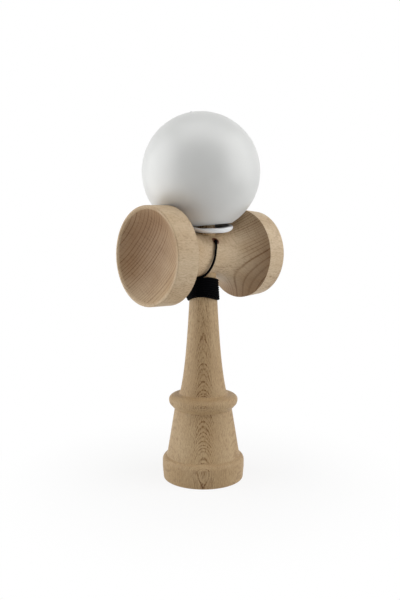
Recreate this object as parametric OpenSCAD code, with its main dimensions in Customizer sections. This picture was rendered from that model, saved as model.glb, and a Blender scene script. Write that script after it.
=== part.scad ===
// Kendama: a turned handle with a spike, a cross piece with two cups, and a bored ball on a cord.
// Millimetres. +Z is up the handle, +X is towards the small cup, the origin is the middle of the foot.

/* [Handle] */
// Diameter of the foot, over its round band
foot_d = 42.6; // [36:0.2:48]
// Height of the band on the foot
foot_h = 12.2; // [9:0.2:16]
// Width of the flat ring that the handle stands on
foot_flat = 1.8; // [1:0.1:2.5]
// Diameter of the lower cone where it leaves the foot
cone_low_d = 37.6; // [32:0.2:40]
// Diameter of the lower cone at its top
cone_top_d = 29.8; // [26:0.2:32]
// Height of the lower cone's top above the ground
cone_top_z = 36.6; // [28:0.2:37]
// Diameter of the collar above the cone
collar_d = 35.8; // [33:0.2:40]
// Height of the collar's top above the ground
collar_top_z = 44.2; // [43:0.2:50]
// Diameter of the stem under the cross piece
stem_top_d = 13; // [11:0.1:14]
// Growth of the stem's diameter by its even taper
stem_taper = 5.8; // [4:0.1:8]
// Growth of the stem's diameter by the flare at its foot
stem_flare = 5.6; // [3:0.1:7]
// Length over which that flare dies away
stem_flare_len = 15.5; // [10:0.5:20]

/* [Spike] */
// Diameter of the spike where it leaves the cross piece
spike_d = 12.2; // [10:0.1:12.8]
// Diameter of the spike's round tip
spike_tip_d = 6; // [4:0.1:9]
// Length of the spike above the cross piece
spike_len = 33; // [26:0.5:34]

/* [Cross piece] */
// Height of the cross piece's axis above the ground
cross_z = 116.5; // [114:0.5:124]
// Diameter of the waist
waist_d = 22.2; // [20:0.2:25]
// Width of the straight part of the waist
waist_w = 8.4; // [6:0.2:12]
// Distance from the handle's axis to the rim of the big cup
big_reach = 37.4; // [34:0.2:42]
// Diameter of the big cup's rim
big_rim_d = 48.6; // [44:0.2:52]
// Diameter at the edge between the big cup's band and its flare
big_edge_d = 49; // [46:0.2:52]
// Width of the big cup's band
big_band = 12.4; // [10:0.2:14]
// Distance from the handle's axis to the rim of the small cup
small_reach = 36.8; // [34:0.2:42]
// Diameter of the small cup's rim
small_rim_d = 45; // [40:0.2:48]
// Diameter at the edge between the small cup's band and its flare
small_edge_d = 46.8; // [42:0.2:49]
// Width of the small cup's band
small_band = 11.6; // [10:0.2:14]
// Width of the lip round each cup
lip_w = 1.2; // [0.8:0.1:2]
// Radius of the hollow in every cup
cup_r = 30.5; // [28:0.5:34]

/* [Ball] */
// Diameter of the ball
ball_d = 60; // [58:0.5:64]
// Diameter of the ball's bore
bore_d = 23; // [21:0.5:25]
// Depth of the bore beyond the ball's centre
bore_past_centre = 15; // [13:0.5:18]
// Width of the bevel round the bore's mouth
mouth_bevel = 1.9; // [1:0.1:2.2]
// Angle at which the ball rocks back on the spike
ball_tilt = 3; // [0:0.5:5]
// Angle at which the ball leans towards the big cup
ball_lean = 4.4; // [0:0.2:5]
// Distance of the ball's centre behind the handle's axis
ball_back = 1.8; // [1:0.1:2.4]
// Diameter of the bead that holds the cord in the ball
bead_d = 6.4; // [5:0.1:8]

/* [Rest ring] */
// Outer diameter of the soft ring under the ball
ring_d = 30.2; // [28:0.2:32]
// Inner diameter of the ring
ring_hole_d = 16.4; // [15:0.2:20]
// Thickness of the ring
ring_t = 1.1; // [0.8:0.1:1.4]
// Radius to which the ring bends over the waist
ring_bend = 36; // [34:1:60]

/* [Cord] */
// Diameter of the cord
cord_d = 1; // [0.8:0.1:1.2]
// Diameter of the hole for the cord in the cross piece
cord_hole_d = 2.8; // [2:0.1:3.4]
// Angle of that hole above the level
cord_hole_angle = 40; // [30:1:50]
// Distance of that hole from the middle of the waist
cord_hole_x = 0.6; // [-2:0.1:2]
// Diameter of the stopper knots
knot_d = 3.4; // [2.6:0.1:4]
// Turns of the cord round the stem, beyond the part turn between its ends
turns = 7; // [3:1:7]
// Rise from one turn to the next
turn_pitch = 1.45; // [1.45:0.05:1.6]

/* [Hidden] */
$fn = 96;

// Running gaps between pieces, and a margin by which a cut passes the face that it opens
fit_gap = 0.1;
seat_gap = 0.35;
bead_gap = 0.3;
end_gap = 0.05;
cut = 1;

// Outlines are drawn as (radius, height) and turned round the axis
function arc(centre, r, from, to, steps) =
    [for (i = [0:steps]) let (a = from + (to - from) * i / steps) centre + r * [cos(a), sin(a)]];

// The bowl of a cup: a sphere's cap that is open at height 0 and widest there
function bowl_depth(rim_r) = cup_r - sqrt(cup_r * cup_r - rim_r * rim_r);

// Handle
foot_r = foot_d / 2;
foot_edge = 0.6;
foot_draft = 0.5;
foot_base_r = foot_r - foot_draft;
foot_cup_r = foot_base_r - foot_edge - foot_flat;
foot_shoulder = 2.8;
shoulder_turn = 75;
cone_low_z = foot_h + 0.6;
collar_swell = 0.2;
collar_low_z = cone_top_z + (collar_d - cone_top_d) / 2;
collar_round = 3.6;
collar_crown = 0.5;
stem_z0 = collar_top_z + collar_crown;
stem_z1 = cross_z - waist_d / 2;
stem_steps = 28;
bowl_steps = 12;
round_steps = 6;

function stem_r(z) =
    stem_top_d / 2
    + stem_taper / 2 * (stem_z1 - z) / (stem_z1 - stem_z0)
    + stem_flare / 2 * exp((stem_z0 - z) / stem_flare_len);

// The tenon narrows evenly from the stem to the spike
spike_z0 = cross_z + waist_d / 2;
spike_z1 = spike_z0 + spike_len;
spike_tip_r = spike_tip_d / 2;
spike_slope = atan((spike_d / 2 - spike_tip_r) / (spike_len - spike_tip_r));
function tenon_r(z) =
    stem_r(stem_z1) + (spike_d / 2 - stem_r(stem_z1)) * (z - stem_z1) / (spike_z0 - stem_z1);

// The cord's hole, along a line that leaves the cross piece's axis on the -Y side
cord_hole_dir = [0, -cos(cord_hole_angle), sin(cord_hole_angle)];
knot_room = 1;
knot_inset = 0.4;
knot_out = tenon_r(cross_z) / cos(cord_hole_angle) - knot_d / 2 - knot_inset;
function on_cord_hole(along) = [cord_hole_x, 0, cross_z] + along * cord_hole_dir;

// Waist and flares of the cross piece: an arc from the waist to the edge of each band
function flare_r(edge_x, edge_r) =
    let (run = edge_x - waist_w / 2, rise = edge_r - waist_d / 2)
    (run * run + rise * rise) / (2 * rise);
function saddle_r(x, edge_x, edge_r) =
    let (r = flare_r(edge_x, edge_r), run = x - waist_w / 2)
    waist_d / 2 + r - sqrt(r * r - run * run);
flare_steps = 16;
big_edge_x = big_reach - big_band;
small_edge_x = small_reach - small_band;

// Rest ring: a sheet bent over the waist, whose ends lie on the flares
function ring_rise(x) = ring_bend - sqrt(ring_bend * ring_bend - x * x);
ring_r = ring_d / 2;
ring_seat = max(saddle_r(ring_r, big_edge_x, big_edge_d / 2),
                saddle_r(ring_r, small_edge_x, small_edge_d / 2));
ring_low_z = cross_z + ring_seat + fit_gap - ring_rise(ring_r);

// Ball: it sits on the nearer of the two flares' edges, or on the ring, with the seat gap
ball_r = ball_d / 2;
function seat_height(x, r) =
    let (above = r + sqrt(pow(ball_r + seat_gap, 2) - x * x))
    sqrt(above * above - ball_back * ball_back);
ring_top = ring_low_z + ring_rise(ring_r) + ring_t - cross_z;
ball_height = max(seat_height(big_edge_x, big_edge_d / 2),
                  seat_height(small_edge_x, small_edge_d / 2),
                  seat_height(ring_r, ring_top));
ball_c = [0, ball_back, cross_z + ball_height];
mouth_r = bore_d / 2 + mouth_bevel;
mouth_z = -sqrt(ball_r * ball_r - mouth_r * mouth_r);
mouth_past = ball_r + mouth_z + cut;
top_hole_r = 1.6;
top_sink = 2.4;
top_sink_r = top_hole_r + top_sink;
top_sink_z = sqrt(ball_r * ball_r - top_sink_r * top_sink_r);
bead_z = bore_past_centre - bead_gap - bead_d / 2;
bead_hole_r = 0.9;
bead_flat_r = 1.5;
bead_half = sqrt(bead_d * bead_d / 4 - bead_flat_r * bead_flat_r);
bead_knot_z = bead_z - bead_half - end_gap - knot_d / 2;

module in_ball() {
    translate(ball_c) rotate([-ball_tilt, -ball_lean, 0]) children();
}
ball_axis = [-cos(ball_tilt) * sin(ball_lean), sin(ball_tilt), cos(ball_tilt) * cos(ball_lean)];
function from_ball(along) = ball_c + along * ball_axis;

// The winding: turns that run clockwise down the stem and rise where the cross piece leaves room
wind_from = -140;
wind_rest = 70;
wind_z = 105.4;
wind_bow = 0.85;
wind_gap = 0.1;
wind_rings = 24;
wind_sides = 6;
wind_sweep = 360 * turns + wind_rest;
wind_steps = floor(wind_sweep * wind_rings / 360);
function wind_point(turned) =
    let (a = wind_from - turned,
         z = wind_z - turn_pitch * turned / 360 - wind_bow * (cos(2 * a) - cos(2 * wind_from)),
         r = stem_r(z) + wind_gap + cord_d / 2)
    [r * cos(a), r * sin(a), z];
function unit(v) = v / norm(v);
function wind_dir(turned) = unit(wind_point(turned + 1) - wind_point(turned - 1));
wind_start = wind_point(0) - cord_d * wind_dir(0);
wind_end = wind_point(wind_sweep) + cord_d * wind_dir(wind_sweep);
wind_path = concat([wind_start],
                   [for (i = [0:wind_steps]) wind_point(wind_sweep * i / wind_steps)],
                   [wind_end]);

// Least distance between the winding's points that lie half a turn or more apart, less the cord
function least_gap(points, apart) =
    min([for (i = [0:len(points) - 1 - apart])
         min([for (j = [i + apart:min(i + 3 * apart, len(points) - 1)])
              norm(points[j] - points[i])])]) - cord_d;
echo(winding_gap = least_gap(wind_path, wind_rings / 2));

// Free stretches of the cord: points chosen by hand, ended square on what they meet
cord_run = 0.8;
cord_enters = ball_r - 2.2;
cord_meets = ball_r - 3;
lead_route = concat(
    [on_cord_hole(knot_out + knot_d / 2 + end_gap), [0.6, -6.8, 122.2], [0.4, -8.5, 123.5],
     [-0.3, -9.7, 123.3], [-1.2, -10.7, 122], [-1.8, -11.4, 120.4], [-2.6, -11.9, 118.2],
     [-3.3, -12.1, 115.5], [-4, -11.8, 113], [-4.6, -10.9, 110.6], [-5.2, -9.4, 108.4], [-5.5, -7.6, 106.8]],
    [wind_start - cord_run * wind_dir(0), wind_start]);
back_route = concat(
    [wind_end, wind_end + cord_run * wind_dir(wind_sweep)],
    [[-4.6, 8.2, 95.8], [-3.9, 9.7, 97.4], [-3.4, 11, 99.7], [-3, 12.2, 102.5], [-2.6, 13.8, 106.5],
     [-2.2, 15.8, 111.5], [-1.8, 17.9, 116.5], [-1.4, 20, 121.5], [-1, 22, 126.5], [-0.7, 24.1, 131.5],
     [-0.4, 26.1, 136.5], [-0.2, 28.2, 141.5], [0, 30.2, 146.5], [0, 31.6, 150.2], [0, 32.6, 158.2],
     [0, 31.6, 166.2], [0, 28.5, 173.7], [0, 23.6, 180.1], [0, 17.8, 184.8], [0, 14.6, 186.4],
     [-0.4, 12.1, 187.1], [-1, 9.6, 187.8], [-1.6, 7.4, 188.2], [-1.9, 5.7, 187.7], [-2.15, 4.3, 186.9]],
    [from_ball(cord_enters), from_ball(cord_meets)]);
cord_sides = 8;
cord_step = 2.8;

// A smooth curve through the points, with a ring at least once in every cord_step
function bend_at(p, i) =
    i == 0 ? p[1] - p[0] : i == len(p) - 1 ? p[i] - p[i - 1] : (p[i + 1] - p[i - 1]) / 2;
function curve(p, i, t) =
    (2 * t * t * t - 3 * t * t + 1) * p[i] + (t * t * t - 2 * t * t + t) * bend_at(p, i)
    + (3 * t * t - 2 * t * t * t) * p[i + 1] + (t * t * t - t * t) * bend_at(p, i + 1);
function smooth_path(p) = concat(
    [for (i = [0:len(p) - 2])
     let (n = ceil(norm(p[i + 1] - p[i]) / cord_step))
     for (k = [0:n - 1]) curve(p, i, k / n)],
    [p[len(p) - 1]]);

// A round tube along a path, whose rings are carried on from one to the next without a twist
function path_dir(p, i) = unit(p[min(i + 1, len(p) - 1)] - p[max(i - 1, 0)]);
function square_to(v, d) = unit(v - (v * d) * d);
first_side = [0.3, 0.9, 0.4];
function ring_sides(p) =
    [for (i = 0, v = square_to(first_side, path_dir(p, 0));
          i < len(p);
          i = i + 1, v = square_to(v, path_dir(p, min(i, len(p) - 1)))) v];
module tube(path, sides) {
    count = len(path);
    last = (count - 1) * sides;
    across = ring_sides(path);
    points = [for (i = [0:count - 1])
              let (u = across[i], v = cross(path_dir(path, i), u))
              for (k = [0:sides - 1])
              path[i] + cord_d / 2 * (cos(360 * k / sides) * u + sin(360 * k / sides) * v)];
    walls = [for (i = [0:count - 2]) for (k = [0:sides - 1])
             let (a = i * sides + k, b = i * sides + (k + 1) % sides)
             each [[a, a + sides, b], [b, a + sides, b + sides]]];
    ends = [for (k = [1:sides - 2]) each [[0, k, k + 1], [last, last + k + 1, last + k]]];
    polyhedron(points = points, faces = concat(walls, ends), convexity = 10);
}

module ken() {
    outline = concat(
        [for (i = [0:bowl_steps])
         let (r = foot_cup_r * i / bowl_steps) [r, bowl_depth(foot_cup_r) - bowl_depth(r)]],
        arc([foot_base_r - foot_edge, foot_edge], foot_edge, -90, 0, round_steps),
        [[foot_r, foot_h / 2]],
        arc([foot_r - foot_shoulder, foot_h - foot_shoulder], foot_shoulder, 0, shoulder_turn, round_steps),
        [[cone_low_d / 2, cone_low_z], [cone_top_d / 2, cone_top_z]],
        [[collar_d / 2 - collar_swell, collar_low_z]],
        arc([collar_d / 2 - collar_round, collar_top_z - collar_round], collar_round, 0, 90, round_steps),
        [for (i = [0:stem_steps])
         let (z = stem_z0 + (stem_z1 - stem_z0) * i / stem_steps) [stem_r(z), z]],
        [[spike_d / 2, spike_z0]],
        arc([0, spike_z1 - spike_tip_r], spike_tip_r, spike_slope, 90, round_steps));
    color("burlywood") difference() {
        rotate_extrude() polygon(outline);
        translate(on_cord_hole(knot_out - knot_d / 2 - end_gap))
            rotate([90 - cord_hole_angle, 0, 0])
            cylinder(d = knot_d + knot_room, h = waist_d);
    }
}

module cross_piece() {
    big_r = big_rim_d / 2;
    small_r = small_rim_d / 2;
    lip_round = lip_w / 2;
    big_flare = flare_r(big_edge_x, big_edge_d / 2);
    small_flare = flare_r(small_edge_x, small_edge_d / 2);
    big_turn = asin((big_edge_x - waist_w / 2) / big_flare);
    small_turn = asin((small_edge_x - waist_w / 2) / small_flare);
    big_bowl = big_r - lip_w;
    small_bowl = small_r - lip_w;
    outline = concat(
        [for (i = [0:bowl_steps])
         let (r = big_bowl * i / bowl_steps) [r, bowl_depth(big_bowl) - bowl_depth(r) - big_reach]],
        arc([big_r - lip_round, lip_round - big_reach], lip_round, -90, 0, round_steps),
        arc([waist_d / 2 + big_flare, -waist_w / 2], big_flare, 180 + big_turn, 180, flare_steps),
        arc([waist_d / 2 + small_flare, waist_w / 2], small_flare, 180, 180 - small_turn, flare_steps),
        arc([small_r - lip_round, small_reach - lip_round], lip_round, 0, 90, round_steps),
        [for (i = [bowl_steps:-1:0])
         let (r = small_bowl * i / bowl_steps) [r, small_reach - bowl_depth(small_bowl) + bowl_depth(r)]]);
    color("tan") difference() {
        translate([0, 0, cross_z]) rotate([0, 90, 0]) rotate_extrude() polygon(outline);
        translate([0, 0, stem_z1 - cut])
            cylinder(r1 = tenon_r(stem_z1 - cut) + fit_gap, r2 = tenon_r(spike_z0 + cut) + fit_gap,
                     h = spike_z0 - stem_z1 + 2 * cut);
        translate(on_cord_hole(0))
            rotate([90 - cord_hole_angle, 0, 0])
            cylinder(d = cord_hole_d, h = waist_d);
    }
}

module tama() {
    color("white") in_ball() difference() {
        sphere(d = ball_d);
        translate([0, 0, -ball_r - cut])
            cylinder(d = bore_d, h = ball_r + cut + bore_past_centre);
        translate([0, 0, mouth_z - mouth_past])
            cylinder(r1 = mouth_r + mouth_past, r2 = bore_d / 2, h = mouth_bevel + mouth_past);
        cylinder(r = top_hole_r, h = ball_d);
        translate([0, 0, top_sink_z - top_sink])
            cylinder(r1 = top_hole_r, r2 = top_sink_r + cut, h = top_sink + cut);
    }
}

module rest_ring() {
    color("whitesmoke") intersection() {
        translate([0, 0, ring_low_z - cut]) difference() {
            cylinder(d = ring_d, h = ring_rise(ring_r) + ring_t + 2 * cut);
            translate([0, 0, -cut]) cylinder(d = ring_hole_d, h = ring_bend);
        }
        translate([0, ring_d, ring_low_z + ring_bend]) rotate([90, 0, 0]) difference() {
            cylinder(r = ring_bend, h = 2 * ring_d);
            translate([0, 0, -cut]) cylinder(r = ring_bend - ring_t, h = 2 * ring_d + 2 * cut);
        }
    }
}

module bead() {
    color("peru") in_ball() translate([0, 0, bead_z]) difference() {
        intersection() {
            sphere(d = bead_d);
            cylinder(d = bead_d + cut, h = 2 * bead_half, center = true);
        }
        cylinder(r = bead_hole_r, h = bead_d, center = true);
    }
}

module bead_knot() {
    color("black") in_ball() translate([0, 0, bead_knot_z]) sphere(d = knot_d);
}

module cross_piece_knot() {
    color("black") translate(on_cord_hole(knot_out)) sphere(d = knot_d);
}

module cord_lead() {
    color("black") tube(smooth_path(lead_route), cord_sides);
}

module cord_winding() {
    color("black") tube(wind_path, wind_sides);
}

module cord_back() {
    color("black") tube(smooth_path(back_route), cord_sides);
}

module cord_in_ball() {
    low = bead_knot_z + knot_d / 2 + end_gap;
    color("black") in_ball() translate([0, 0, low])
        cylinder(d = cord_d, h = cord_meets - end_gap - low);
}

ken();
cross_piece();
tama();
rest_ring();
bead();
bead_knot();
cross_piece_knot();
cord_lead();
cord_winding();
cord_back();
cord_in_ball();
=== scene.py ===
import math
from types import SimpleNamespace

import bpy
from mathutils import Matrix, Vector


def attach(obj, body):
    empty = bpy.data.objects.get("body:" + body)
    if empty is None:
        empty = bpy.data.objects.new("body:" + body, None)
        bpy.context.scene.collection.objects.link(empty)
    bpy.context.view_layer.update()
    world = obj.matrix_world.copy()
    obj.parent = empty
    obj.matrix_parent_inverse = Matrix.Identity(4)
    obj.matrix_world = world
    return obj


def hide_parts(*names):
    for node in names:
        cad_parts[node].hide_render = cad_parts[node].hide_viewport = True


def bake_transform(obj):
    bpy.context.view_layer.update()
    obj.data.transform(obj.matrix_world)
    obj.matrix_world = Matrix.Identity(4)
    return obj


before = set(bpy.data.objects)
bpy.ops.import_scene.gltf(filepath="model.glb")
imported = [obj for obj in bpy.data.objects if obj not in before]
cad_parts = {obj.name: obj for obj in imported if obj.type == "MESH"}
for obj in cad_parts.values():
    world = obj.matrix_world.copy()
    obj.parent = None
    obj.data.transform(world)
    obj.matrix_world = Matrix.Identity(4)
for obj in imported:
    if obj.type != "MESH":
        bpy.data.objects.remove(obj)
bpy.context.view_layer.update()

# Lengths below are in millimetres, in the frame of the part, and meshes are made in metres
MM = 0.001

# Handle
FOOT_R = 21.3
FOOT_H = 12.2
FOOT_FLAT = 1.8
FOOT_EDGE = 0.6
FOOT_DRAFT = 0.5
FOOT_SHOULDER = 2.8
FOOT_SHOULDER_TURN = 75
CONE_LOW_R = 18.8
CONE_LOW_Z = 12.8
CONE_TOP_R = 14.9
CONE_TOP_Z = 36.6
COLLAR_R = 17.9
COLLAR_SWELL = 0.2
COLLAR_ROUND_W = 4.2
COLLAR_ROUND_H = 2.8
COLLAR_ROUND_TURN = 85
COLLAR_FILLET = 3
COLLAR_TOP_Z = 44.2
STEM_LOW_Z = 44.7
STEM_FILLET = 1.2
STEM_FILLET_REACH = 2
STEM_TOP_Z = 105.4
STEM_TOP_R = 6.5
STEM_TAPER = 2.9
STEM_FLARE = 2.8
STEM_FLARE_LEN = 15.5
SPIKE_R = 6.1
SPIKE_LOW_Z = 127.6
SPIKE_TIP_R = 3
SPIKE_TIP_Z = 160.6

# Cross piece
CROSS_Z = 116.5
WAIST_R = 11.1
WAIST_HALF = 4.2
CUP_R = 30.5
LIP_W = 1.2
BIG_REACH = 37.4
BIG_RIM_R = 24.3
BIG_EDGE_R = 24.5
BIG_EDGE_X = 25
SMALL_REACH = 36.8
SMALL_RIM_R = 22.5
SMALL_EDGE_R = 23.4
SMALL_EDGE_X = 25.2
TENON_GAP = 0.1
BORE_PAST = 1
CORD_HOLE_R = 1.4
CORD_HOLE_X = 0.6
CORD_HOLE_ANGLE = math.radians(40)
CORD_HOLE_LEN = 2 * WAIST_R

# Ball, on an axis that rocks back from the handle's and leans towards the big cup
BALL_R = 30
BALL_CENTRE = Vector((0, 1.8, 158.169))
BALL_TILT = math.radians(3)
BALL_LEAN = math.radians(4.4)
BALL_TURN = Matrix.Rotation(-BALL_LEAN, 4, "Y") @ Matrix.Rotation(-BALL_TILT, 4, "X")
BORE_R = 11.5
BORE_TOP = 15
MOUTH_BEVEL = 1.9
TOP_HOLE_R = 1.6
TOP_SINK = 2.4

# Bead, whose heights are on the ball's axis
BEAD_R = 3.2
BEAD_HOLE_R = 0.9
BEAD_FLAT_R = 1.5
BEAD_GAP = 0.3
BEAD_Z = BORE_TOP - BEAD_GAP - BEAD_R
BEAD_HALF = math.sqrt(BEAD_R**2 - BEAD_FLAT_R**2)
BEAD_TOP = BEAD_Z + BEAD_HALF
BEAD_LOW = BEAD_Z - BEAD_HALF

# Stopper knots: one sits in a pocket of the handle, just under the tenon's face, the other under the bead
KNOT_R = 1.7
KNOT_ROOM = 0.5
KNOT_INSET = 0.4
KNOT_GAP = 0.05
KNOT_STEPS = 96
# How many sizes of its curve a knot's radius holds, and how many the curve waves up and down
KNOT_SIZES = 4.2
KNOT_WAVE = 1.4

# Rest ring
RING_R = 15.1
RING_HOLE_R = 6.6
RING_BEND = 36
RING_LOW_Z = 127.148
RING_EDGE = 0.5
# Thickness where squeezed and where free, and how far from the middle the squeeze starts and is full
RING_T = 1.1
RING_FULL_T = 2.3
RING_FREE = 4.5
RING_PRESSED = 11.5
# How much it sinks to one side, swells at the back and lifts at the front
RING_DROOP = 0.07
RING_BACK = 1.1
RING_LIFT = 0.5

# Cord
CORD_D = 1.2
CORD_STEP = 0.35
CORD_SIDES = 10
LEAD_POINTS = [
    (0.6, -6.8, 122.2), (0.4, -8.5, 123.5), (-0.3, -9.7, 123.3), (-1.2, -10.7, 122), (-1.8, -11.4, 120.4),
    (-2.6, -11.9, 118.2), (-3.3, -12.1, 115.5), (-4, -11.8, 113), (-4.6, -10.9, 110.6), (-5.2, -9.4, 108.4),
    (-5.5, -7.6, 106.8),
]
BACK_POINTS = [
    (-4.6, 8.2, 95.8), (-3.9, 9.7, 97.4), (-3.4, 11, 99.7), (-3, 12.2, 102.5), (-2.6, 13.8, 106.5),
    (-2.2, 15.8, 111.5), (-1.8, 17.9, 116.5), (-1.4, 20, 121.5), (-1, 22, 126.5), (-0.7, 24.1, 131.5),
    (-0.4, 26.1, 136.5), (-0.2, 28.2, 141.5), (0, 30.2, 146.5), (0, 31.6, 150.2), (0, 32.6, 158.2),
    (0, 31.6, 166.2), (0, 28.5, 173.7), (0, 23.6, 180.1), (0, 17.8, 184.8), (0, 14.6, 186.4),
    (-0.4, 12.1, 187.1), (-1, 9.6, 187.8), (-1.6, 7.4, 188.2), (-1.9, 5.7, 187.7), (-2.15, 4.3, 186.9),
]
# Heights on the ball's axis of the cord's points from the top hole to the knot under the bead
IN_BALL_POINTS = (27.8, 27, 22, BORE_TOP, BEAD_TOP + 1, BEAD_LOW)

# Winding: where it starts, whole turns and the part turn after them, in degrees
WIND_FROM = -140
WIND_TURNS = 9
WIND_REST = 70
WIND_SWEEP = 360 * WIND_TURNS + WIND_REST
WIND_STEP = 5
WIND_Z = 105.4
WIND_DROP = 10.3
WIND_GAP = 0.05
# Height by which its first and last turns sag and rise, and the angles at which these are highest
WIND_BOW_TOP = 0.95
WIND_BOW_LOW = 1.15
WIND_CREST_TOP = -114
WIND_CREST_LOW = -142

# Meshes: sides of round pieces, steps along their outlines, and angles from which an edge is sharp
TURNED_SIDES = 192
RING_SIDES = 160
BEAD_SIDES = 48
DRILL_SIDES = 64
STEM_STEPS = 58
FLARE_STEPS = 40
BALL_STEPS = 96
BEAD_STEPS = 24
RING_EDGE_STEPS = 10
RING_FLAT_STEPS = 8
SHARP = math.radians(35)
SHARP_DRILLED = math.radians(30)

# Camera of the photograph
CAMERA_PLACE = Vector((-0.24242, -0.26434, 0.12947))
CAMERA_TURN = math.radians(42.25)
CAMERA_PITCH = math.radians(5.786)
CAMERA_LENS = 42
CAMERA_CLIP = 0.01
RIGHT = Vector((math.cos(CAMERA_TURN), -math.sin(CAMERA_TURN), 0))
NEAR = Vector((-math.sin(CAMERA_TURN), -math.cos(CAMERA_TURN), 0))
UP = Vector((0, 0, 1))

# Light: lengths in metres, and angles in degrees from the camera's side to the right and from the level up
MIDDLE = Vector((0, 0, 0.095))
AMBIENT = 0.015
LAMPS = [
    # name, turn, rise, distance, size, level, height over the middle at which it is aimed
    ("left_box", -84, 36, 0.55, (0.5, 0.9), 1.66, 0.5),
    ("right_box", 80, 27, 0.75, (0.75, 1.3), 1.88, 0.3),
    ("top_box", 0, 79, 1.6, (1.8, 1.4), 1.55, 0),
]
FLOOR_HALF = 3
# Distances from the object between which the floor turns white, and its share of white there
FLOOR_FADE = (0.02, 0.12, 0.85, 1.0)


# Colours
def srgb(*levels):
    """A colour given as screen levels from 0 to 255, as the shaders take it."""
    shares = [x / 255 for x in levels]
    return tuple(x / 12.92 if x <= 0.04045 else ((x + 0.055) / 1.055) ** 2.4 for x in shares) + (1,)


WHITE = (1, 1, 1, 1)
FLOOR_PALE = (0.9, 0.9, 0.9, 1)
BEECH = srgb(198, 173, 139)
BEECH_PALE = srgb(212, 191, 160)
BURNT = srgb(92, 46, 22)
# Unpainted wood inside the ball's bore, darkened as painted shade
BARE_BORE_SHADED = srgb(120, 92, 66)
PAINT = srgb(213, 214, 212)
PAINT_PALE = srgb(218, 219, 217)
RUBBER = srgb(230, 231, 232)
RUBBER_PALE = srgb(238, 239, 240)
CORD_CREVICE_SHADE = srgb(1, 1, 2)
CORD_BLACK = srgb(6, 6, 8)
# These multiply the wood's colour
BEECH_LINE = srgb(172, 145, 107)
BEECH_FLECK = srgb(160, 128, 98)
BEECH_END = srgb(152, 112, 62)
HANDLE_TONE = srgb(241, 235, 221)

# Wood: how far the rings' middle lies from each piece's axis, and its angle under level for the cross piece
HANDLE_PITH = 44
BEAD_PITH = 9
CROSS_PITH = 97
CROSS_PITH_SLANT = math.radians(42)
# Distances along the fibres between which end grain turns pale on the cups' lips: a painted highlight where
# the lips catch light
LIP_HIGHLIGHT_FROM = 36.3
LIP_HIGHLIGHT_TO = 36.9
# Radii of the dark spot round the cord's hole
BURN_INNER = 1.7
BURN_OUTER = 2.6
# Radii between which the bore's unpainted wood, drawn dark as painted shade, turns to paint, and the height
# on the ball's axis where it ends
SHADED_BARE_INNER = BORE_R + 0.1
SHADED_BARE_OUTER = BORE_R + 0.4
SHADED_BARE_TOP = BORE_TOP + 2


# Outlines as (radius, height)
def arc(centre, radius, start, end, steps=12):
    turns = [math.radians(start + (end - start) * i / steps) for i in range(steps + 1)]
    return [(centre[0] + radius * math.cos(a), centre[1] + radius * math.sin(a)) for a in turns]


def spaced(a, b, steps):
    return [a + (b - a) * i / steps for i in range(steps + 1)]


def rounded(before, corner, after, radius, steps=8):
    """Points of a round corner of the given radius, in place of a sharp one."""
    start, middle, end = Vector(before), Vector(corner), Vector(after)
    back, ahead = (start - middle).normalized(), (end - middle).normalized()
    half = back.angle(ahead) / 2
    centre = middle + (back + ahead).normalized() * radius / math.sin(half)
    leave, arrive = middle + back * radius / math.tan(half), middle + ahead * radius / math.tan(half)
    spokes = [(leave - centre).lerp(arrive - centre, i / steps).normalized() for i in range(steps + 1)]
    return [tuple(centre + radius * spoke) for spoke in spokes]


def bowl_depth(radius):
    return CUP_R - math.sqrt(CUP_R**2 - radius**2)


def bowl(rim_r, steps=28):
    """A cup's hollow from its middle to its rim, with the rim at height 0."""
    radii = [rim_r * i / steps for i in range(steps + 1)]
    return [(r, bowl_depth(rim_r) - bowl_depth(r)) for r in radii]


def stem_r(z):
    taper = STEM_TAPER * (STEM_TOP_Z - z) / (STEM_TOP_Z - STEM_LOW_Z)
    return STEM_TOP_R + taper + STEM_FLARE * math.exp((STEM_LOW_Z - z) / STEM_FLARE_LEN)


def tenon_r(z):
    along = (z - STEM_TOP_Z) / (SPIKE_LOW_Z - STEM_TOP_Z)
    return stem_r(STEM_TOP_Z) + (SPIKE_R - stem_r(STEM_TOP_Z)) * along


def foot_outline():
    base_r = FOOT_R - FOOT_DRAFT
    shoulder = (FOOT_R - FOOT_SHOULDER, FOOT_H - FOOT_SHOULDER)
    return (
        bowl(base_r - FOOT_EDGE - FOOT_FLAT)
        + arc((base_r - FOOT_EDGE, FOOT_EDGE), FOOT_EDGE, -90, 0)
        + [(FOOT_R, FOOT_H / 2)]
        + arc(shoulder, FOOT_SHOULDER, 0, FOOT_SHOULDER_TURN)
    )


def collar_outline(stem_z):
    """From the cone's top over the collar to the fillet at the stem's foot, which ends under stem_z."""
    cone_top = (CONE_TOP_R, CONE_TOP_Z)
    low = (COLLAR_R - COLLAR_SWELL, CONE_TOP_Z + COLLAR_R - CONE_TOP_R)
    high = (COLLAR_R, COLLAR_TOP_Z - COLLAR_ROUND_H)
    top = (COLLAR_R - COLLAR_ROUND_W, COLLAR_TOP_Z)
    corner = (stem_r(COLLAR_TOP_Z), COLLAR_TOP_Z)
    edge = arc((0, 0), 1, 0, COLLAR_ROUND_TURN)
    return (
        [cone_top]
        + rounded(cone_top, low, high, COLLAR_FILLET)
        + [(top[0] + COLLAR_ROUND_W * out, high[1] + COLLAR_ROUND_H * up) for out, up in edge]
        + rounded(top, corner, (stem_r(stem_z), stem_z), STEM_FILLET)
    )


def ken_outline():
    stem_z = STEM_LOW_Z + STEM_FILLET_REACH
    tip_z = SPIKE_TIP_Z - SPIKE_TIP_R
    slope = math.degrees(math.atan((SPIKE_R - SPIKE_TIP_R) / (tip_z - SPIKE_LOW_Z)))
    return (
        foot_outline()
        + [(CONE_LOW_R, CONE_LOW_Z)]
        + collar_outline(stem_z)
        + [(stem_r(z), z) for z in spaced(stem_z, STEM_TOP_Z, STEM_STEPS)]
        + [(SPIKE_R, SPIKE_LOW_Z)]
        + arc((0, tip_z), SPIKE_TIP_R, slope, 90)
    )


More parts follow.
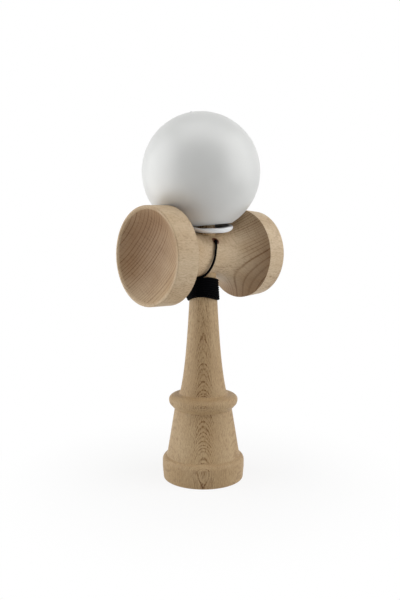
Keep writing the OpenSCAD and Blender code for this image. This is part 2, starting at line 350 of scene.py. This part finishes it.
def cup_outline(reach, rim_r, edge_r, edge_x):
    """One end of the cross piece, from the bowl's middle over the lip and band to the waist."""
    lip = LIP_W / 2
    hollow = [(r, reach - h) for r, h in bowl(rim_r - LIP_W)]
    run = edge_x - WAIST_HALF
    rise = edge_r - WAIST_R
    flare = (run**2 + rise**2) / (2 * rise)
    turn = math.degrees(math.asin(run / flare))
    return (
        hollow
        + arc((rim_r - lip, reach - lip), lip, 90, 0)
        + arc((WAIST_R + flare, WAIST_HALF), flare, 180 - turn, 180, FLARE_STEPS)
    )


def cross_outline():
    big = cup_outline(BIG_REACH, BIG_RIM_R, BIG_EDGE_R, BIG_EDGE_X)
    small = cup_outline(SMALL_REACH, SMALL_RIM_R, SMALL_EDGE_R, SMALL_EDGE_X)
    return [(r, -x) for r, x in big] + small[::-1]


def ball_outline():
    """From the bore's end, down the bore, round the ball and into the hole for the cord."""
    mouth = -math.degrees(math.acos((BORE_R + MOUTH_BEVEL) / BALL_R))
    sink = math.degrees(math.acos((TOP_HOLE_R + TOP_SINK) / BALL_R))
    mouth_z = BALL_R * math.sin(math.radians(mouth))
    sink_z = BALL_R * math.sin(math.radians(sink))
    return (
        [(TOP_HOLE_R, BORE_TOP), (BORE_R, BORE_TOP), (BORE_R, mouth_z + MOUTH_BEVEL)]
        + arc((0, 0), BALL_R, mouth, sink, BALL_STEPS)
        + [(TOP_HOLE_R, sink_z - TOP_SINK), (TOP_HOLE_R, BORE_TOP)]
    )


def bead_outline():
    top = math.degrees(math.acos(BEAD_FLAT_R / BEAD_R))
    hole = [(BEAD_HOLE_R, BEAD_HALF), (BEAD_HOLE_R, -BEAD_HALF)]
    return hole[1:] + arc((0, 0), BEAD_R, -top, top, BEAD_STEPS) + hole


def ring_outline():
    """The rest ring's section as (radius, side), where side goes from 0 on the underside to 1 on the top."""
    inner, outer = RING_HOLE_R + RING_EDGE, RING_R - RING_EDGE
    turns = spaced(-math.pi / 2, math.pi / 2, RING_EDGE_STEPS)
    rim = [(outer + RING_EDGE * math.cos(t), 0.5 + 0.5 * math.sin(t)) for t in turns]
    eye = [(inner - RING_EDGE * math.cos(t), 0.5 + 0.5 * math.sin(t)) for t in turns[::-1]]
    under = [(r, 0) for r in spaced(inner, outer, RING_FLAT_STEPS)][1:-1]
    over = [(r, 1) for r in spaced(outer, inner, RING_FLAT_STEPS)][1:-1]
    return under + rim + over + eye + under[:1]


# Meshes
def add_object(name, data):
    made = bpy.data.objects.new(name, data)
    bpy.context.scene.collection.objects.link(made)
    return made


def add_mesh(name, points, faces):
    mesh = bpy.data.meshes.new(name)
    mesh.from_pydata([Vector(p) * MM for p in points], [], faces)
    return mesh


def new_piece(name, points, faces, body, slot):
    mesh = add_mesh(name, points, faces)
    mesh.shade_smooth()
    mesh.set_sharp_from_angle(angle=SHARP)
    piece = add_object(name, mesh)
    if body:
        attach(piece, body)
    return piece


def lathe(outline, segments, place=Matrix()):
    """Points and faces of an outline turned round Z and then placed by a matrix."""
    points, faces, rings = [], [], []
    for r, z in outline:
        count = 1 if r < 1e-6 else segments
        rings.append(range(len(points), len(points) + count))
        for k in range(count):
            a = 2 * math.pi * k / segments
            points.append(place @ Vector((r * math.cos(a), r * math.sin(a), z)))
    for low, high in zip(rings, rings[1:]):
        for k in range(segments):
            corners = (low, k), (low, k + 1), (high, k + 1), (high, k)
            faces.append(list(dict.fromkeys(ring[i % len(ring)] for ring, i in corners)))
    return points, faces


def drill(piece, start, direction, radii, length):
    """Cuts a round hole, whose radius goes from the first to the second of radii."""
    turn = direction.to_track_quat("Z", "Y").to_matrix().to_4x4()
    outline = [(0, 0), (radii[0], 0), (radii[1], length), (0, length)]
    points, faces = lathe(outline, DRILL_SIDES, Matrix.Translation(start) @ turn)
    cutter = add_object("cutter", add_mesh("cutter", points, faces))
    cut = piece.modifiers.new("hole", "BOOLEAN")
    cut.operation = "DIFFERENCE"
    cut.solver = "EXACT"
    cut.object = cutter
    bpy.context.view_layer.update()
    whole = piece.evaluated_get(bpy.context.evaluated_depsgraph_get())
    old = piece.data
    piece.data = bpy.data.meshes.new_from_object(whole)
    piece.modifiers.clear()
    bpy.data.objects.remove(cutter)
    bpy.data.meshes.remove(old)
    piece.data.shade_smooth()
    piece.data.set_sharp_from_angle(angle=SHARP_DRILLED)


# Cord
def smooth_path(points, step):
    """A smooth curve through the points, at even steps along each stretch."""
    path = []
    for i in range(len(points) - 1):
        a, b = points[i], points[i + 1]
        leave = b - a if i == 0 else (b - points[i - 1]) / 2
        arrive = b - a if i == len(points) - 2 else (points[i + 2] - a) / 2
        count = max(1, math.ceil((b - a).length / step))
        for k in range(count):
            t = k / count
            path.append(
                (2 * t**3 - 3 * t**2 + 1) * a + (t**3 - 2 * t**2 + t) * leave
                + (3 * t**2 - 2 * t**3) * b + (t**3 - t**2) * arrive
            )
    return path + [points[-1]]


def tube(path, radius, sides):
    """Points, faces and one (round, along) pair per point of a tube whose rings don't twist."""
    points, faces, places = [], [], []
    # Any direction that the path doesn't start along
    across = Vector((0.3, 0.9, 0.4))
    along = 0
    for i, p in enumerate(path):
        ahead = (path[min(i + 1, len(path) - 1)] - path[max(i - 1, 0)]).normalized()
        across = (across - across.dot(ahead) * ahead).normalized()
        other = ahead.cross(across)
        along += (p - path[i - 1]).length if i else 0
        for k in range(sides):
            a = 2 * math.pi * k / sides
            points.append(p + radius * (math.cos(a) * across + math.sin(a) * other))
            places.append((k / sides, along))
    for i in range(len(path) - 1):
        for k in range(sides):
            a, b = i * sides + k, i * sides + (k + 1) % sides
            faces.append((a, b, b + sides, a + sides))
    last = len(points) - sides
    faces.append(tuple(range(sides - 1, -1, -1)))
    faces.append(tuple(range(last, last + sides)))
    return points, faces, places


def add_places(piece, places):
    """Keeps each point's place round and along the cord, for the cord's finish."""
    layer = piece.data.attributes.new("cord_place", "FLOAT_VECTOR", "POINT")
    layer.data.foreach_set("vector", [x for u, v in places for x in (u, v, 0)])


def wind_point(turned):
    """A point of the winding, which sags under the flares and rises where the waist leaves room."""
    share = turned / WIND_SWEEP
    a = math.radians(WIND_FROM - turned)
    bow = WIND_BOW_TOP + (WIND_BOW_LOW - WIND_BOW_TOP) * share
    crest = math.radians(WIND_CREST_TOP + (WIND_CREST_LOW - WIND_CREST_TOP) * share)
    start = WIND_BOW_TOP * math.cos(2 * math.radians(WIND_FROM - WIND_CREST_TOP))
    z = WIND_Z - WIND_DROP * share + bow * math.cos(2 * (a - crest)) - start
    r = stem_r(z) + WIND_GAP + CORD_D / 2
    return Vector((r * math.cos(a), r * math.sin(a), z))


def on_ball_axis(along):
    return BALL_CENTRE + BALL_TURN @ Vector((0, 0, along))


def on_cord_hole(along):
    out = Vector((0, -math.cos(CORD_HOLE_ANGLE), math.sin(CORD_HOLE_ANGLE)))
    return Vector((CORD_HOLE_X, 0, CROSS_Z)) + along * out


def knot_face():
    """How far along the cord's hole the knot in the handle ends."""
    return tenon_r(CROSS_Z) / math.cos(CORD_HOLE_ANGLE) - KNOT_INSET


def cord_path():
    count = WIND_SWEEP // WIND_STEP
    turns = [wind_point(WIND_SWEEP * i / count) for i in range(count + 1)]
    inside = [on_ball_axis(height) for height in IN_BALL_POINTS]
    route = [on_cord_hole(knot_face())] + [Vector(p) for p in LEAD_POINTS] + turns
    return smooth_path(route + [Vector(p) for p in BACK_POINTS] + inside, CORD_STEP)


# Materials
class Shader:
    """The nodes of a material or of the world, made and linked by short calls."""

    def __init__(self, owner):
        owner.use_nodes = True
        self.owner = owner
        self.tree = owner.node_tree
        self.surface = self.tree.nodes.get("Principled BSDF") or self.tree.nodes["Background"]

    def node(self, kind, inputs=(), **settings):
        made = self.tree.nodes.new("ShaderNode" + kind)
        for key, value in settings.items():
            setattr(made, key, value)
        for key, value in dict(inputs).items():
            self.put(made.inputs[key], value)
        return made

    def put(self, socket, value):
        if isinstance(value, bpy.types.NodeSocket):
            self.tree.links.new(value, socket)
        else:
            socket.default_value = value

    def math(self, operation, a, b=0.0, c=0.0):
        return self.node("Math", {0: a, 1: b, 2: c}, operation=operation).outputs[0]

    def vector(self, operation, a, b=(0, 0, 0)):
        return self.node("VectorMath", {0: a, 1: b}, operation=operation).outputs["Vector"]

    def measure(self, operation, a, b=(0, 0, 0)):
        return self.node("VectorMath", {0: a, 1: b}, operation=operation).outputs["Value"]

    def parts(self, vector):
        return self.node("SeparateXYZ", {0: vector}).outputs

    def join(self, x, y, z):
        return self.node("CombineXYZ", {0: x, 1: y, 2: z}).outputs[0]

    def stretch(self, x, y, z, scale):
        """The place (x, y, z) with each part scaled on its own."""
        return self.join(*[self.math("MULTIPLY", part, by) for part, by in zip((x, y, z), scale)])

    def off_axis(self, x, y):
        return self.math("SQRT", self.math("ADD", self.math("MULTIPLY", x, x), self.math("MULTIPLY", y, y)))

    def noise(self, vector, scale=1.0, detail=2.0, roughness=0.5):
        inputs = {"Vector": vector, "Scale": scale, "Detail": detail, "Roughness": roughness}
        return self.node("TexNoise", inputs).outputs

    def noise_along(self, value, scale):
        inputs = {"W": value, "Scale": scale, "Detail": 1.0}
        return self.node("TexNoise", inputs, noise_dimensions="1D").outputs[0]

    def between(self, value, low, high, out_low=0.0, out_high=1.0):
        inputs = {0: value, 1: low, 2: high, 3: out_low, 4: out_high}
        return self.node("MapRange", inputs, interpolation_type="SMOOTHSTEP").outputs[0]

    def ramp(self, value, stops):
        made = self.node("ValToRGB", {0: value})
        ends = made.color_ramp.elements
        while len(ends) < len(stops):
            ends.new(0.5)
        for end, (place, level) in zip(ends, stops):
            end.position = place
            end.color = (level, level, level, 1)
        return made.outputs[0]

    def mix(self, share, a, b):
        return self.node("Mix", {0: share, 6: a, 7: b}, data_type="RGBA").outputs[2]

    def tint(self, share, colour, by):
        """The colour, multiplied by another one to a share."""
        made = self.node("Mix", {0: 1.0, 6: colour, 7: by}, data_type="RGBA", blend_type="MULTIPLY")
        return self.mix(share, colour, made.outputs[2])

    def bump(self, height, strength, distance=0.1):
        inputs = {"Height": height, "Strength": strength, "Distance": distance * MM}
        self.put(self.surface.inputs["Normal"], self.node("Bump", inputs).outputs[0])

    def set(self, **values):
        for key, value in values.items():
            self.put(self.surface.inputs[key.replace("_", " ")], value)

    def shows_background(self):
        """1 for rays that show the background: camera, glossy and transmission rays."""
        path = self.node("LightPath").outputs
        share = self.math("MAXIMUM", path["Is Camera Ray"], path["Is Glossy Ray"])
        return self.math("MAXIMUM", share, path["Is Transmission Ray"])

    def add_white(self, share, output):
        """Mixes plain white of strength 1 over the surface."""
        kind = "Background" if output == "World Output" else "Emission"
        white = self.node(kind, {"Color": WHITE, "Strength": 1.0}).outputs[0]
        both = self.node("MixShader", {0: share, 1: self.surface.outputs[0], 2: white}).outputs[0]
        self.put(self.tree.nodes[output].inputs["Surface"], both)


def material(name):
    return Shader(bpy.data.materials.new(name))


def grain(s, turn, axis, pith, sway, wander):
    """Where a point of the surface lies in the trunk, and how the surface cuts the wood there."""
    place = s.node("TexCoord").outputs
    inputs = {"Location": -axis - pith, "Rotation": turn, "Scale": (1 / MM,) * 3}
    local = s.node("Mapping", {"Vector": place["Object"], **inputs}).outputs[0]
    slow = s.noise(s.vector("MULTIPLY", local, (0.06, 0.06, 0.018)), detail=1.0)["Color"]
    drift = s.vector("MULTIPLY", s.vector("SUBTRACT", slow, (0.5, 0.5, 0.5)), (sway, sway, 0))
    x, y, z = s.parts(s.vector("ADD", local, drift))
    depth = s.math("SUBTRACT", s.off_axis(x, y), pith.length)
    depth = s.math("ADD", depth, s.math("MULTIPLY", s.noise_along(z, 0.06), wander))

    inputs = {"Vector": place["Normal"], "Rotation": turn}
    normal = s.node("Mapping", inputs, vector_type="NORMAL").outputs[0]
    facing = s.measure("DOT_PRODUCT", s.vector("NORMALIZE", s.join(x, y, 0.0)), normal)
    across = s.math("ABSOLUTE", s.parts(normal)[2])
    # Painted highlight: end grain on the cups' lips is drawn less dark and with fainter lines
    lip_highlight = s.between(s.math("ABSOLUTE", z), LIP_HIGHLIGHT_FROM, LIP_HIGHLIGHT_TO, 1.0, 0.25)
    return SimpleNamespace(
        place=place["Object"],
        local=local,
        z=z,
        depth=depth,
        round_pith=s.math("MULTIPLY", s.math("ARCTAN2", y, x), pith.length),
        # How flat the surface lies on the rings
        flat=s.between(s.math("ABSOLUTE", facing), 0.8, 0.99),
        # How far it cuts across the fibres, for the lines and for the colour
        cut=s.math("MULTIPLY", s.between(across, 0.15, 0.6), lip_highlight),
        end=s.math("MULTIPLY", s.between(across, 0.2, 0.95), lip_highlight),
    )


def ring_lines(s, wood, spacing, dark, added, side_line, end_line):
    """The dark line of each year, broken into dashes where the surface runs along the fibres."""
    uneven = s.math("MULTIPLY", s.noise_along(wood.depth, 0.35 / spacing), 1.4)
    count = s.math("ADD", s.math("DIVIDE", wood.depth, spacing), uneven)
    more = s.math("MULTIPLY", s.math("MAXIMUM", wood.depth, added[1]), added[0])
    count = s.math("ADD", count, more)
    stops = [(0.0, 0.3), (0.1, 0.0), (1 - dark, 0.0), (1 - 0.35 * dark, 1.0), (1.0, 0.3)]
    line = s.ramp(s.math("FRACT", count), stops)
    year = s.node("TexWhiteNoise", {"W": s.math("FLOOR", count)}, noise_dimensions="1D").outputs[0]
    line = s.math("MULTIPLY", line, s.between(year, 0.0, 1.0, 0.35, 1.0))
    dash = s.noise(s.vector("MULTIPLY", wood.local, (1.4, 1.4, 0.9)), detail=1.0)[0]
    dash = s.math("MAXIMUM", wood.cut, s.between(dash, 0.38, 0.6, 0.3, 1.0))
    line = s.math("MULTIPLY", line, dash)
    side = s.math("MULTIPLY", s.math("MULTIPLY_ADD", wood.flat, 0.5, 0.5), side_line)
    return s.math("MULTIPLY", line, s.math("MAXIMUM", s.math("MULTIPLY", wood.cut, end_line), side))


def ray_flecks(s, wood, line):
    """Short dark rays, wide and thin ones, denser in the lines and where the surface lies on the rings."""
    wide = s.stretch(wood.depth, wood.round_pith, wood.z, (0.12, 2.4, 0.5))
    wide = s.between(s.noise(wide, detail=0.0)[0], 0.58, 0.7)
    thin = s.stretch(wood.depth, wood.round_pith, wood.z, (0.3, 5.0, 0.9))
    thin = s.between(s.noise(thin, detail=0.0)[0], 0.54, 0.7)
    ray = s.math("MAXIMUM", wide, s.math("MULTIPLY", thin, 0.7))
    ray = s.math("MULTIPLY", ray, s.math("MULTIPLY_ADD", line, 0.7, 0.45))
    return s.math("MULTIPLY", ray, s.math("MULTIPLY_ADD", wood.flat, 0.8, 0.6))


def beech(
    name, turn, axis, pith, spacing, dark, tone=WHITE, added=(0, 0), side_line=1, end_line=1, wander=0,
    sway=0.4, fleck=0.6, end_share=0.4, end_shade_lean=0,
):
    """Steamed beech: growth rings round a pith outside the piece, short rays, pores and darker end grain.

    turn brings the fibres along Z. axis is where the piece's own axis then lies, and pith is how far the
    rings' middle lies from it. sway bends the fibres, and wander moves the rings in and out along them.
    spacing is the distance between rings and dark the dark share of each. added is the number of further
    rings per millimetre, and the depth from which those come. side_line and end_line are the rings' strength
    along and across the fibres, and fleck is that of the rays. end_share is how much darker end grain is, and
    end_shade_lean shifts this, as painted shade and painted light: at one end of the fibres to the side
    away from the pith, at the other towards it.
    tone dims the colour of this piece.
    """
    s = material(name)
    wood = grain(s, turn, axis, pith, sway, wander)
    line = ring_lines(s, wood, spacing, dark, added, side_line, end_line)
    ray = ray_flecks(s, wood, line)
    # Painted shade and light: end grain drawn darker at one end of the fibres and paler at the other, split
    # by the side of the pith
    shade_lean = s.math("MULTIPLY", s.between(wood.depth, -20, 20, -1.4, 2.1), -end_shade_lean)
    end = s.math("MULTIPLY", wood.end, s.math("MULTIPLY_ADD", wood.z, shade_lean, 1.0))
    pore = s.noise(s.vector("MULTIPLY", wood.local, (5.0, 5.0, 0.25)), detail=3.0, roughness=0.6)[0]
    cloud = s.noise(s.vector("MULTIPLY", wood.local, (0.07, 0.07, 0.03)), detail=2.0)[0]

    colour = s.mix(s.between(cloud, 0.3, 0.7), BEECH, BEECH_PALE)
    colour = s.tint(1.0, colour, tone)
    colour = s.tint(line, colour, BEECH_LINE)
    colour = s.tint(s.math("MULTIPLY", ray, fleck), colour, BEECH_FLECK)
    colour = s.tint(s.between(pore, 0.35, 0.75, 0.0, 0.3), colour, BEECH_LINE)
    colour = s.tint(s.math("MULTIPLY", end, end_share), colour, BEECH_END)
    s.colour, s.place = colour, wood.place
    s.bump(s.math("SUBTRACT", s.math("MULTIPLY", pore, -0.5), s.math("MULTIPLY", ray, 0.5)), 0.25)
    s.set(Base_Color=colour, Roughness=s.between(pore, 0.3, 0.8, 0.48, 0.66), Specular_IOR_Level=0.35)
    return s


def burn(s, middle, inner, outer):
    """Darkens the wood round a point, as where a hole was burned or drilled hot."""
    far = s.measure("LENGTH", s.vector("SUBTRACT", s.place, tuple(middle * MM)))
    share = s.between(far, inner * MM, outer * MM, 1.0, 0.0)
    s.set(Base_Color=s.mix(share, s.colour, BURNT))


def paint(name):
    """Satin white paint with a faint sprayed grain, and unpainted wood in the bore, whose dark colour is
    painted shade.
    """
    s = material(name)
    place = s.node("TexCoord").outputs["Object"]
    spray = s.noise(place, 900.0, 3.0)[0]
    cloud = s.noise(place, 45.0, 2.0)[0]
    inputs = {"Vector": place, "Location": BALL_CENTRE * MM, "Rotation": BALL_TURN.to_euler()}
    x, y, z = s.parts(s.node("Mapping", inputs, vector_type="TEXTURE").outputs[0])
    # Unpainted wood in the bore, coloured darker than the beech as painted shade
    bare_shaded = s.between(s.off_axis(x, y), SHADED_BARE_INNER * MM, SHADED_BARE_OUTER * MM, 1.0, 0.0)
    bare_shaded = s.math("MULTIPLY", bare_shaded, s.math("LESS_THAN", z, SHADED_BARE_TOP * MM))
    colour = s.mix(s.between(cloud, 0.3, 0.7), PAINT, PAINT_PALE)
    s.set(Base_Color=s.mix(bare_shaded, colour, BARE_BORE_SHADED))
    s.set(Roughness=s.between(spray, 0.3, 0.7, 0.36, 0.44), Specular_IOR_Level=1.0)
    s.bump(spray, 0.06)
    return s


def rubber(name):
    """Smooth white rubber."""
    s = material(name)
    cloud = s.noise(s.node("TexCoord").outputs["Object"], 220.0, 3.0)[0]
    s.set(Base_Color=s.mix(s.between(cloud, 0.3, 0.7), RUBBER, RUBBER_PALE))
    s.set(Roughness=s.between(cloud, 0.3, 0.7, 0.42, 0.52))
    s.bump(cloud, 0.08)
    return s


def braid(name, strands=4, length=0.8):
    """Black braided cord: two sets of strands that cross on the slant, once per length, with painted shade
    where the strands sink in.
    """
    s = material(name)
    u, v, _ = s.parts(s.node("Attribute", attribute_name="cord_place").outputs["Vector"])
    turn = s.math("MULTIPLY", u, 2 * math.pi * strands)
    run = s.math("MULTIPLY", v, 2 * math.pi / length)
    one = s.math("SINE", s.math("ADD", turn, run))
    two = s.math("SINE", s.math("SUBTRACT", turn, run))
    strand = s.math("MULTIPLY", s.math("MULTIPLY", one, two), 0.5)
    fuzz = s.noise(s.node("TexCoord").outputs["Object"], 5000.0, 2.0)[0]
    # Painted shade: the cord is drawn darker where the strands sink in between each other
    s.set(Base_Color=s.mix(s.between(strand, -0.4, 0.5), CORD_CREVICE_SHADE, CORD_BLACK))
    s.set(Roughness=s.between(fuzz, 0.3, 0.7, 0.62, 0.8), Specular_IOR_Level=0.03)
    s.bump(s.math("ADD", strand, s.math("MULTIPLY", fuzz, 0.4)), 0.35, 0.2)
    return s


# Pieces
def dress(piece, shader):
    piece.data.materials.clear()
    piece.data.materials.append(shader.owner)


def make_ken():
    ken = new_piece("handle_turned", *lathe(ken_outline(), TURNED_SIDES), None, "handle_wood")
    pocket = knot_face() - 2 * KNOT_R - KNOT_GAP
    out = on_cord_hole(1) - on_cord_hole(0)
    drill(ken, on_cord_hole(pocket), out, (KNOT_R + KNOT_ROOM,) * 2, CORD_HOLE_LEN)
    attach(ken, "handle")
    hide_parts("ken")
    dress(ken, beech(
        "handle_beech", turn=(0, 0, 0), axis=Vector(), pith=HANDLE_PITH * NEAR, spacing=0.36, dark=0.5,
        tone=HANDLE_TONE, side_line=1.1, end_line=0.2, wander=1.4, fleck=0.9, end_share=0.05,
    ))


def make_cross_piece():
    lie = Matrix.Translation((0, 0, CROSS_Z)) @ Matrix.Rotation(math.pi / 2, 4, "Y")
    cross = new_piece("cross_piece_turned", *lathe(cross_outline(), TURNED_SIDES, lie), None, "cross_wood")
    low, high = STEM_TOP_Z - BORE_PAST, SPIKE_LOW_Z + BORE_PAST
    radii = tenon_r(low) + TENON_GAP, tenon_r(high) + TENON_GAP
    drill(cross, Vector((0, 0, low)), UP, radii, high - low)
    out = on_cord_hole(1) - on_cord_hole(0)
    drill(cross, on_cord_hole(0), out, (CORD_HOLE_R,) * 2, CORD_HOLE_LEN)
    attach(cross, "handle")
    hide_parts("cross_piece")
    pith = CROSS_PITH * Vector((math.sin(CROSS_PITH_SLANT), -math.cos(CROSS_PITH_SLANT), 0))
    # end_shade_lean paints shade into much of the big cup's bowl and light onto much of the small cup's flare
    wood = beech(
        "cross_beech", turn=(0, -math.pi / 2, 0), axis=Vector((-CROSS_Z, 0, 0)), pith=pith, spacing=3.1,
        dark=0.3, added=(0.33, -11), side_line=0.3, end_line=0.85, wander=0.6, sway=0.8, fleck=0.75,
        end_share=0.48, end_shade_lean=0.009,
    )
    burn(wood, on_cord_hole(WAIST_R), BURN_INNER, BURN_OUTER)
    dress(cross, wood)


def make_ball():
    points, faces = lathe(ball_outline(), TURNED_SIDES, Matrix.Translation(BALL_CENTRE) @ BALL_TURN)
    ball = new_piece("ball_painted", points, faces, "tama", "ball_paint")
    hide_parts("tama")
    dress(ball, paint("ball_satin"))


def make_bead():
    points, faces = lathe(bead_outline(), BEAD_SIDES, Matrix.Translation(on_ball_axis(BEAD_Z)) @ BALL_TURN)
    bead = new_piece("bead_turned", points, faces, "bead", "bead_wood")
    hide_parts("bead")
    dress(bead, beech(
        "bead_beech", turn=(0, 0, 0), axis=Vector(), pith=Vector((BEAD_PITH, 0, 0)), spacing=0.8, dark=0.4,
        tone=HANDLE_TONE,
    ))
    return bead


def ring_point(r, a, side):
    """A point of the rest ring, bent over the waist and squeezed between the ball and the flares."""
    x, y = r * math.cos(a), r * math.sin(a)
    rise = RING_BEND - math.sqrt(RING_BEND**2 - x**2)
    squeeze = min(1, max(0, (abs(x) - RING_FREE) / (RING_PRESSED - RING_FREE)))
    thick = RING_FULL_T + (RING_T - RING_FULL_T) * squeeze * squeeze * (3 - 2 * squeeze)
    thick += RING_BACK * (1 - squeeze) * max(0, y / RING_R)
    droop = RING_DROOP * x * (1 if x > 0 else min(1, abs(y) / RING_R))
    lift = RING_LIFT * max(0, -y / RING_R)
    return Vector((x, y, RING_LOW_Z + rise + droop + lift + thick * side))


def make_ring():
    outline = ring_outline()
    points, faces = lathe(outline, RING_SIDES)
    for i, p in enumerate(points):
        r, side = outline[i // RING_SIDES]
        points[i] = ring_point(r, math.atan2(p.y, p.x), side)
    ring = new_piece("rest_ring_rubber", points, faces, "handle", "ring_rubber")
    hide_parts("rest_ring")
    dress(ring, rubber("ring_white_rubber"))


def make_knot(name, middle, axis, body, node, finish):
    """An overhand knot, pulled tight: a cord along a trefoil, whose loops reach 3 sizes out."""
    turn = axis.to_track_quat("Z", "Y").to_matrix()
    size = KNOT_R / KNOT_SIZES
    path = []
    for t in spaced(0, 2 * math.pi, KNOT_STEPS):
        x = math.sin(t) + 2 * math.sin(2 * t)
        y = math.cos(t) - 2 * math.cos(2 * t)
        z = -KNOT_WAVE * math.sin(3 * t)
        path.append(middle + turn @ (size * Vector((x, y, z))))
    points, faces, places = tube(path, KNOT_R - 3 * size, CORD_SIDES)
    knot = new_piece(name, points, faces, body, "cord")
    add_places(knot, places)
    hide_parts(node)
    dress(knot, finish)
    return knot


def make_knots(finish):
    hole, bore = on_cord_hole(1) - on_cord_hole(0), on_ball_axis(1) - on_ball_axis(0)
    in_handle, under_bead = on_cord_hole(knot_face() - KNOT_R), on_ball_axis(BEAD_LOW - KNOT_GAP - KNOT_R)
    return [
        make_knot("knot_in_handle", in_handle, hole, "handle", "cross_piece_knot", finish),
        make_knot("knot_under_bead", under_bead, bore, "bead", "bead_knot", finish),
    ]


def make_cord(finish, pieces):
    path = cord_path()
    points, faces, places = tube(path, CORD_D / 2, CORD_SIDES)
    cord = new_piece("cord_black", points, faces, None, "cord")
    add_places(cord, places)
    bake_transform(cord)
    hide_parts("cord_lead", "cord_winding", "cord_back", "cord_in_ball")
    dress(cord, finish)


# Stage, camera and light
def make_world():
    world = bpy.data.worlds.new("studio")
    bpy.context.scene.world = world
    s = Shader(world)
    s.set(Color=WHITE, Strength=AMBIENT)
    s.add_white(s.shows_background(), "World Output")


def make_floor():
    mesh = bpy.data.meshes.new("floor")
    corners = [(x * FLOOR_HALF, y * FLOOR_HALF, 0) for x, y in ((-1, -1), (1, -1), (1, 1), (-1, 1))]
    mesh.from_pydata(corners, [], [(0, 1, 2, 3)])
    floor = add_object("floor", mesh)
    s = material("floor_pale")
    s.set(Base_Color=FLOOR_PALE, Roughness=0.9)
    far = s.measure("LENGTH", s.node("TexCoord").outputs["Object"])
    s.add_white(s.math("MULTIPLY", s.shows_background(), s.between(far, *FLOOR_FADE)), "Material Output")
    dress(floor, s)


def softbox(name, turn, rise, distance, size, level, aim):
    """An area lamp, turned from the camera's side to the right, raised, and aimed over the middle."""
    turn, rise = math.radians(turn), math.radians(rise)
    away = math.cos(rise) * (math.cos(turn) * NEAR + math.sin(turn) * RIGHT) + math.sin(rise) * UP
    lamp = bpy.data.lights.new(name, "AREA")
    lamp.shape = "RECTANGLE"
    lamp.size, lamp.size_y = size
    lamp.energy = level * math.pi * size[0] * size[1]
    holder = add_object(name, lamp)
    holder.location = MIDDLE + distance * away
    holder.rotation_euler = (aim * UP - distance * away).to_track_quat("-Z", "Y").to_euler()


def make_camera():
    camera = add_object("camera", bpy.data.cameras.new("camera"))
    camera.data.lens = CAMERA_LENS
    camera.data.clip_start = CAMERA_CLIP
    camera.location = CAMERA_PLACE
    ahead = -math.cos(CAMERA_PITCH) * NEAR - math.sin(CAMERA_PITCH) * UP
    camera.rotation_euler = ahead.to_track_quat("-Z", "Y").to_euler()
    bpy.context.scene.camera = camera


make_camera()
make_ken()
make_cross_piece()
make_ball()
make_ring()
black = braid("cord_braid")
knots = make_knots(black)
make_cord(black, knots + [make_bead()])
make_floor()
make_world()
for lamp in LAMPS:
    softbox(*lamp)
bpy.context.scene.view_settings.view_transform = "Standard"
